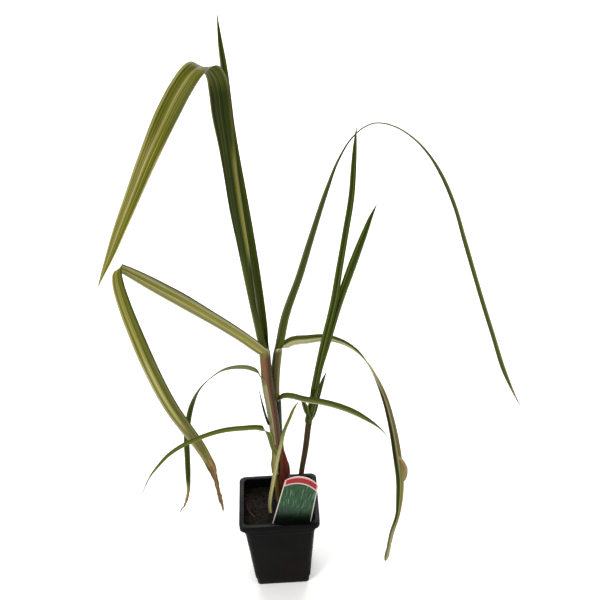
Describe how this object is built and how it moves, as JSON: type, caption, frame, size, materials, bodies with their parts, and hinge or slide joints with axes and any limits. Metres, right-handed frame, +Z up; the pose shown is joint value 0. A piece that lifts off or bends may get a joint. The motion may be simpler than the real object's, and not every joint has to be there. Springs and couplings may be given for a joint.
{
  "type": "potted reed sweet grass",
  "caption": "Square nursery pot of compost holding a young variegated reed sweet grass, its long striped blades arching to both sides, with a plant label pushed in at the front.",
  "frame": {"origin": "centre of the underside of the pot, on the surface that it stands on", "axes": "+Z up, +X towards the tall leaf that arches to the right, -Y towards the side that the label faces"},
  "size_m": [0.4152, 0.1568, 0.6606],
  "materials": {
    "black_plastic": "satin",
    "compost": "matte",
    "label_plastic": "satin",
    "sheath": "satin",
    "bud_skin": "satin",
    "green_blade": "satin",
    "striped_blade": "satin",
    "dry_blade": "matte"
  },
  "bodies": {
    "root": {"pot": "black_plastic", "potting_soil": "compost", "plant_label": "label_plastic", "main_stem": "sheath", "second_stem": "sheath", "side_stem": "sheath", "red_bud": "bud_skin", "leaf_tall_arching": "striped_blade", "leaf_top_spike": "green_blade", "leaf_left_folded": "striped_blade", "leaf_right_arching": "green_blade", "leaf_right_drooping": "striped_blade", "leaf_right_low": "green_blade", "leaf_left_small": "green_blade", "leaf_left_low": "green_blade", "thin_spike": "dry_blade", "front_shoot": "striped_blade", "side_blade_tall": "green_blade", "side_blade_second": "green_blade", "side_blade_short": "green_blade", "side_bract": "green_blade", "side_flap": "green_blade", "dry_strand_upper": "dry_blade", "dry_strand_lower": "dry_blade"}
  },
  "joints": []
}
